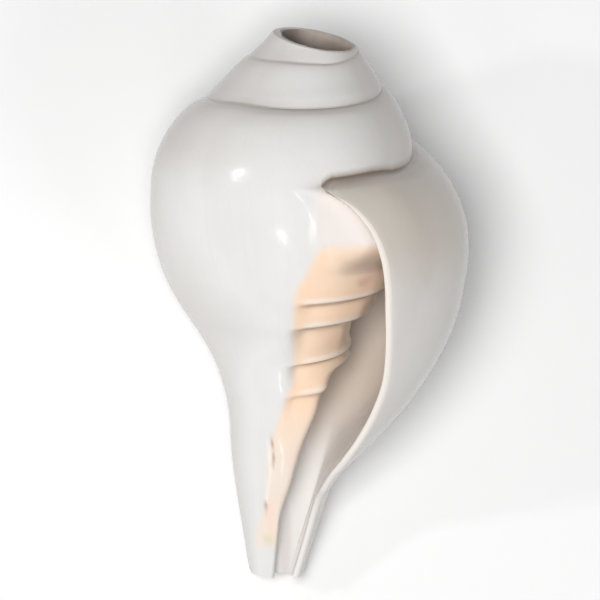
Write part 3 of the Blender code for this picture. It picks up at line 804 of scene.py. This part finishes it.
def layDown(shell):
    # the shell lies on its back, the middle of its box over the origin; returns the movement made
    roll = Matrix.Rotation(math.radians(restForm["roll"]), 4, "Z")
    turned = Matrix.Rotation(math.radians(restForm["pitch"]), 4, "X") @ roll
    shell.data.transform(turned)
    corners = cornersOf(shell)
    corners[:, 2] = np.maximum(corners[:, 2], corners[:, 2].min() + restForm["wear"] * mm)
    shell.data.vertices.foreach_set("co", corners.ravel())
    low, high = corners.min(axis=0), corners.max(axis=0)
    down = Matrix.Translation((-(low[0] + high[0]) / 2, -(low[1] + high[1]) / 2, -low[2]))
    shell.data.transform(down)
    return down @ turned


def makeShell(glaze, sawnFace, wornFace):
    points, marks, faces = growShell()
    data = bpy.data.meshes.new("conchShell")
    data.from_pydata((points * mm).tolist(), [], faces)
    data.materials.append(glaze)
    work = bmesh.new()
    work.from_mesh(data)
    bmesh.ops.triangulate(work, faces=work.faces)
    bmesh.ops.recalc_face_normals(work, faces=work.faces)
    work.to_mesh(data)
    work.free()
    shell = bpy.data.objects.new("conchShell", data)
    bpy.context.collection.objects.link(shell)
    cutEnds(shell, sawnFace, wornFace)
    markSurface(shell, points, marks)
    shell.data.polygons.foreach_set("use_smooth", [True] * len(shell.data.polygons))
    shell.data.set_sharp_from_angle(angle=math.radians(50))
    return shell, layDown(shell)


def opaque(value):
    # colours are written without their alpha
    return (*value, 1.0) if isinstance(value, tuple) else value


def addNode(tree, kind, sockets=None, **values):
    # sockets gives each input a value or the output that feeds it
    node = tree.nodes.new(kind)
    for name, value in values.items():
        setattr(node, name, value)
    for name, value in (sockets or {}).items():
        if isinstance(value, bpy.types.NodeSocket):
            tree.links.new(value, node.inputs[name])
        else:
            node.inputs[name].default_value = opaque(value)
    return node


def layOut(tree):
    # nodes in columns in the order they were made, with the shader and the output last
    ordered = sorted(tree.nodes, key=lambda node: node.type in {"BSDF_PRINCIPLED", "OUTPUT_MATERIAL"})
    for number, node in enumerate(ordered):
        node.location = (number // 5 * 240, -(number % 5) * 280)


def calculated(tree, operation, *values):
    return addNode(tree, "ShaderNodeMath", dict(enumerate(values)), operation=operation).outputs["Value"]


def readMark(tree, name):
    return addNode(tree, "ShaderNodeAttribute", attribute_name=name).outputs["Fac"]


def mapped(tree, value, low, high, **values):
    sockets = {"Value": value, "From Min": low, "From Max": high}
    return addNode(tree, "ShaderNodeMapRange", sockets, **values).outputs["Result"]


def startGroup(name, inputs, outputs):
    tree = bpy.data.node_groups.new(name, "ShaderNodeTree")
    for label, value in inputs.items():
        kind = "NodeSocketFloat" if isinstance(value, float) else "NodeSocketColor"
        tree.interface.new_socket(label, in_out="INPUT", socket_type=kind).default_value = opaque(value)
    for label in outputs:
        kind = "NodeSocketColor" if label == "Color" else "NodeSocketFloat"
        tree.interface.new_socket(label, in_out="OUTPUT", socket_type=kind)
    return tree, addNode(tree, "NodeGroupInput").outputs


def cloudinessGroup():
    # soft milky clouds inside the shell: a colour that drifts between two tones
    tree, given = startGroup(
        "milky clouds", {"Light tone": (0.8, 0.78, 0.74), "Deep tone": (0.7, 0.68, 0.65), "Size": 60.0},
        ["Color"])
    where = addNode(tree, "ShaderNodeTexCoord").outputs["Object"]
    noise = addNode(tree, "ShaderNodeTexNoise", {"Vector": where, "Scale": given["Size"], "Detail": 3.0})
    spread = mapped(tree, noise.outputs["Fac"], 0.35, 0.65)
    tones = {"Factor": spread, "A": given["Light tone"], "B": given["Deep tone"]}
    mix = addNode(tree, "ShaderNodeMix", tones, data_type="RGBA")
    addNode(tree, "NodeGroupOutput", {"Color": mix.outputs["Result"]})
    return tree


def drawnLineGroup():
    # a line drawn along a distance in mm, wavering a little: 1 on the line, 0 beyond its width
    tree, given = startGroup("drawn line", {"Distance": 0.0, "Core": 0.2, "Width": 0.8, "Waver": 0.2}, ["Mask"])
    where = addNode(tree, "ShaderNodeTexCoord").outputs["Object"]
    noise = addNode(tree, "ShaderNodeTexNoise", {"Vector": where, "Scale": 260.0})
    centred = calculated(tree, "SUBTRACT", noise.outputs["Fac"], 0.5)
    waver = calculated(tree, "MULTIPLY", centred, given["Waver"])
    away = calculated(tree, "ABSOLUTE", given["Distance"])
    moved = calculated(tree, "ADD", away, waver)
    ends = {"From Min": given["Core"], "From Max": given["Width"], "To Min": 1.0, "To Max": 0.0}
    fade = addNode(tree, "ShaderNodeMapRange", {"Value": moved, **ends}, interpolation_type="SMOOTHSTEP")
    addNode(tree, "NodeGroupOutput", {"Mask": fade.outputs["Result"]})
    return tree


def growthLinesGroup():
    # faint lines left by each day's growth, side by side with the lip
    tree, given = startGroup("growth lines", {"Density": 0.45, "Sharpness": 0.5}, ["Mask", "Height"])
    slow = calculated(tree, "MULTIPLY", readMark(tree, "depth"), 0.06)
    along = addNode(tree, "ShaderNodeCombineXYZ", {"X": readMark(tree, "growth"), "Y": slow})
    noise = {"Vector": along.outputs["Vector"], "Scale": given["Density"], "Detail": 4.0, "Roughness": 0.6}
    lines = addNode(tree, "ShaderNodeTexNoise", noise)
    spread = mapped(tree, lines.outputs["Fac"], given["Sharpness"], 0.72, interpolation_type="SMOOTHSTEP")
    addNode(tree, "NodeGroupOutput", {"Mask": spread, "Height": lines.outputs["Fac"]})
    return tree


glazePaint = {
    "roughness": 0.24, "coat": 0.25, "coatRoughness": 0.05,
    "milk": {"Light tone": (0.80, 0.79, 0.775), "Deep tone": (0.75, 0.73, 0.715), "Size": 22.0},
    "blush": {"Light tone": (0.94, 0.75, 0.58), "Deep tone": (0.95, 0.69, 0.50), "Size": 90.0},
    "growth": {"Density": 0.45, "Sharpness": 0.5},
    "layers": {  # each colour laid over the ones before it, and the most of it that shows
        # painted shade on the outside close behind the lip
        "lipSideShade": ((0.58, 0.50, 0.405), 0.6),
        "growthLine": ((0.62, 0.57, 0.52), 0.10),
        "insideNear": ((0.91, 0.89, 0.875), 1.0),
        "insideDeep": ((0.90, 0.77, 0.65), 0.9),
        "insideBand": ((0.62, 0.54, 0.53), 0.35),
        "lipBand": ((0.86, 0.80, 0.73), 0.85),
        "seam": ((0.25, 0.18, 0.13), 0.9),
        "seamShade": ((0.25, 0.18, 0.13), 0.55),
        "callus": ((0.88, 0.78, 0.73), 0.6),
        # a painted highlight along each fold's crest, and a painted shadow under it
        "crest": ((0.97, 0.92, 0.87), 0.65),
        "underCrestShadow": ((0.45, 0.29, 0.20), 0.5),
        # brown touches: real brown streaks, and painted shadow under the lip
        "brownAndShadow": ((0.30, 0.19, 0.13), 0.65),
        # rosy touches, the first of them painted shadow under the lip
        "rosyAndShadow": ((0.66, 0.44, 0.35), 0.65),
        # cream touches: real cream streaks, and a painted highlight down the callus edge
        "creamAndHighlight": ((0.98, 0.96, 0.92), 0.65),
        "pink": ((0.94, 0.68, 0.57), 0.65),
        "olive": ((0.70, 0.66, 0.42), 0.65),
        # painted shade where the surface turns away from the eye
        "edgeShade": ((0.34, 0.29, 0.25), 0.75),
    },
    # (full out to, gone beyond, waver), all in mm
    "insideBandLine": (0.3, 1.9, 0.6), "insideBandFromLip": 2.6,
    "lipBandLine": (0.3, 0.5, 0.5),
    "seamLine": (0.05, 0.6, 0.35), "seamShadeLine": (0.1, 2.4, 0.5),
    "edgeShadePower": 2.5, "edgeShadePowerOnSpire": -1.5,
    "polishScale": 150.0, "polishHeight": 1.6, "growthHeight": 0.25, "brownHeight": -1.5, "creamHeight": 0.8,
    "reliefDistance": 0.0001,
}

sawnPaint = {
    # painted shade: the bored hole's tones are darkened brown
    "hole": {"Light tone": (0.50, 0.43, 0.38), "Deep tone": (0.36, 0.30, 0.255), "Size": 150.0},
    # painted shadow of the hole's near edge
    "nearEdgeShadow": ((0.07, 0.045, 0.03), 0.75), "nearEdgeShadowAcross": (-4.0, 9.0),
    "ring": ((0.66, 0.63, 0.58), 0.95), "ringLine": (0.2, 0.5, 0.2), "ringPastHole": (0.5, 1.3),
    "wornEnd": {"Light tone": (0.78, 0.76, 0.73), "Deep tone": (0.62, 0.58, 0.53), "Size": 150.0},
    "roughness": 0.45,
}


def tintedLayer(tree, below, paint, mask):
    # lays a colour over the one below where the mask is, with no more than this share of it
    colour, share = paint
    amount = calculated(tree, "MULTIPLY", mask, share)
    mix = addNode(tree, "ShaderNodeMix", {"Factor": amount, "A": below, "B": colour}, data_type="RGBA")
    return mix.outputs["Result"]


def glazeLayers(tree, colour, layers):
    for name, mask in layers:
        colour = tintedLayer(tree, colour, glazePaint["layers"][name], mask)
    return colour


def lineMask(tree, lineGroup, distance, line):
    sockets = {"Distance": distance, **dict(zip(("Core", "Width", "Waver"), line))}
    return addNode(tree, "ShaderNodeGroup", sockets, node_tree=lineGroup).outputs["Mask"]


def startMaterial(name, roughness):
    material = bpy.data.materials.new(name)
    material.use_nodes = True
    principled = material.node_tree.nodes["Principled BSDF"]
    principled.inputs["Roughness"].default_value = roughness
    return material, material.node_tree, principled


def glazeRelief(tree, growthHeight, brownAndShadow, creamAndHighlight):
    # growth lines, the hand polish and the raised touches as slight relief
    where = addNode(tree, "ShaderNodeTexCoord").outputs["Object"]
    polish = addNode(tree, "ShaderNodeTexNoise", {"Vector": where, "Scale": glazePaint["polishScale"]})
    total = calculated(tree, "MULTIPLY", growthHeight, glazePaint["growthHeight"])
    raised = ((polish.outputs["Fac"], "polishHeight"), (brownAndShadow, "brownHeight"), (creamAndHighlight, "creamHeight"))
    for height, weight in raised:
        total = calculated(tree, "MULTIPLY_ADD", height, glazePaint[weight], total)
    relief = addNode(tree, "ShaderNodeBump", {"Height": total, "Distance": glazePaint["reliefDistance"]})
    return relief.outputs["Normal"]


def polishedGlaze(clouds, lineGroup, growthGroup):
    material, tree, principled = startMaterial("polished shell glaze", glazePaint["roughness"])
    principled.inputs["Coat Weight"].default_value = glazePaint["coat"]
    principled.inputs["Coat Roughness"].default_value = glazePaint["coatRoughness"]
    milk = addNode(tree, "ShaderNodeGroup", glazePaint["milk"], node_tree=clouds).outputs["Color"]
    growth = addNode(tree, "ShaderNodeGroup", glazePaint["growth"], node_tree=growthGroup).outputs
    colour = glazeLayers(tree, milk, [
        # painted shade on the outside close behind the lip
        ("lipSideShade", readMark(tree, "lipSideShade")),
        ("growthLine", growth["Mask"]),
    ])
    # the peach of the columella drifts between two tones as well
    peach = addNode(tree, "ShaderNodeGroup", glazePaint["blush"], node_tree=clouds).outputs["Color"]
    colour = tintedLayer(tree, colour, (peach, 1.0), readMark(tree, "blush"))
    inside = readMark(tree, "inside")
    lipDistance = readMark(tree, "lipDistance")
    bandDistance = calculated(tree, "SUBTRACT", lipDistance, glazePaint["insideBandFromLip"])
    band = lineMask(tree, lineGroup, bandDistance, glazePaint["insideBandLine"])
    lipBand = lineMask(tree, lineGroup, lipDistance, glazePaint["lipBandLine"])
    seamDistance, seamTone = readMark(tree, "seamDistance"), readMark(tree, "seamBrown")
    seam = lineMask(tree, lineGroup, seamDistance, glazePaint["seamLine"])
    seamShade = lineMask(tree, lineGroup, seamDistance, glazePaint["seamShadeLine"])
    strokes = [(name, readMark(tree, name + "Stroke")) for name in strokePaint]
    deepMark, lipTone = readMark(tree, "deep"), readMark(tree, "lipTone")
    colour = glazeLayers(tree, colour, [
        ("insideNear", inside),
        ("insideDeep", calculated(tree, "MULTIPLY", inside, deepMark)),
        ("insideBand", calculated(tree, "MULTIPLY", band, inside)),
        ("lipBand", calculated(tree, "MULTIPLY", lipBand, lipTone)),
        ("seam", calculated(tree, "MULTIPLY", seam, seamTone)),
        ("seamShade", calculated(tree, "MULTIPLY", seamShade, seamTone)),
        ("callus", readMark(tree, "callus")),
        # the painted highlight along the fold crests and the painted shadow under them
        ("crest", readMark(tree, "crestLight")),
        ("underCrestShadow", readMark(tree, "crestShade")),
    ] + strokes)
    # painted shade: the colour darkens where the surface curves away from the eye, most of all on the spire
    facing = addNode(tree, "ShaderNodeLayerWeight", {"Blend": 0.5}).outputs["Facing"]
    power = calculated(tree, "MULTIPLY_ADD", readMark(tree, "spire"),
                       glazePaint["edgeShadePowerOnSpire"], glazePaint["edgeShadePower"])
    colour = glazeLayers(tree, colour, [("edgeShade", calculated(tree, "POWER", facing, power))])
    tree.links.new(colour, principled.inputs["Base Color"])
    touches = dict(strokes)
    relief = glazeRelief(tree, growth["Height"], touches["brownAndShadow"], touches["creamAndHighlight"])
    tree.links.new(relief, principled.inputs["Normal"])
    return material


def cutShell(name, tones, clouds):
    material, tree, principled = startMaterial(name, sawnPaint["roughness"])
    milk = addNode(tree, "ShaderNodeGroup", tones, node_tree=clouds)
    tree.links.new(milk.outputs["Color"], principled.inputs["Base Color"])
    return material, tree, milk.outputs["Color"]


def sawnShell(clouds, lineGroup):
    # the sawn ring is cream with a brown inner edge; the bored hole below it is painted dark brown as shade in
    # the hole, darkest on one side as painted shadow of its near edge
    material, tree, colour = cutShell("sawn shell", sawnPaint["hole"], clouds)
    # painted shadow of the hole's near edge, darkest on its near side
    nearEdgeShadow = mapped(tree, readMark(tree, "holeSide"), *sawnPaint["nearEdgeShadowAcross"])
    colour = tintedLayer(tree, colour, sawnPaint["nearEdgeShadow"], nearEdgeShadow)
    top = lineMask(tree, lineGroup, readMark(tree, "belowSaw"), sawnPaint["ringLine"])
    near, far = sawnPaint["ringPastHole"]
    outward = mapped(tree, readMark(tree, "pastHole"), near, far, interpolation_type="SMOOTHSTEP")
    ring = calculated(tree, "MULTIPLY", top, outward)
    colour = tintedLayer(tree, colour, sawnPaint["ring"], ring)
    tree.links.new(colour, tree.nodes["Principled BSDF"].inputs["Base Color"])
    return material


studio = {
    "lights": {  # right, up, distance, size, power, and whether the gloss shows it
        "key": (-0.98, 0.17, 1.3, (0.08, 0.08), 1.8, True),
        "window": (-0.15, -0.72, 1.3, (0.22, 0.09), 0.6, True),
        "front": (-0.11, -0.02, 2.4, (0.8, 0.8), 40.5, False),
        "side": (1.0, -0.6, 1.6, (0.6, 0.6), 3.5, False),
    },
    "airLight": 0.22,
    "floorTone": (0.96, 0.96, 0.96, 1.0), "floorRoughness": 0.9, "floorReach": 3.0,
}


def placeCamera(right, up, back, middle):
    data = bpy.data.cameras.new("photo camera")
    data.type = "ORTHO"
    data.ortho_scale = photoView["side"] * photoView["mmPerPixel"] * mm
    camera = bpy.data.objects.new("photo camera", data)
    turned = Matrix((right, up, back)).transposed().to_4x4()
    camera.matrix_world = Matrix.Translation(middle + back * photoView["distance"]) @ turned
    bpy.context.collection.objects.link(camera)
    bpy.context.scene.camera = camera


def placeLight(name, middle, direction, distance, size, power, inGloss):
    data = bpy.data.lights.new(name, "AREA")
    data.shape = "RECTANGLE"
    data.size, data.size_y = size
    data.energy = power
    light = bpy.data.objects.new(name, data)
    light.location = middle + direction.normalized() * distance
    light.rotation_euler = direction.to_track_quat("Z", "Y").to_euler()
    light.visible_glossy = inGloss
    bpy.context.collection.objects.link(light)


def makeFloor():
    data = bpy.data.meshes.new("studio floor")
    reach = studio["floorReach"]
    corners = [(-reach, -reach, 0.0), (reach, -reach, 0.0), (reach, reach, 0.0), (-reach, reach, 0.0)]
    data.from_pydata(corners, [], [(0, 1, 2, 3)])
    floor = bpy.data.objects.new("studio floor", data)
    paper, tree, principled = startMaterial("white paper", studio["floorRoughness"])
    principled.inputs["Base Color"].default_value = studio["floorTone"]
    data.materials.append(paper)
    bpy.context.collection.objects.link(floor)
    return floor


clouds = cloudinessGroup()
lineGroup = drawnLineGroup()
growthGroup = growthLinesGroup()
glaze = polishedGlaze(clouds, lineGroup, growthGroup)
sawnFace = sawnShell(clouds, lineGroup)
wornFace = cutShell("worn canal end", sawnPaint["wornEnd"], clouds)[0]
for tree in [clouds, lineGroup, growthGroup] + [finish.node_tree for finish in (glaze, sawnFace, wornFace)]:
    layOut(tree)
print("Finishes made")
conch, laidDown = makeShell(glaze, sawnFace, wornFace)
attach(conch, "root")
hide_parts("shell")

floor = makeFloor()
right, up, back, middle = photoAxes(laidDown)
placeCamera(right, up, back, middle)
for name, (toRight, toUp, *light) in studio["lights"].items():
    placeLight(name, middle, back + right * toRight + up * toUp, *light)
world = bpy.data.worlds.new("studio air")
world.use_nodes = True
air = world.node_tree.nodes["Background"].inputs
air["Color"].default_value = (1.0, 1.0, 1.0, 1.0)
air["Strength"].default_value = studio["airLight"]
bpy.context.scene.world = world
bpy.context.scene.view_settings.view_transform = "Standard"
print("Camera, lights and floor placed")
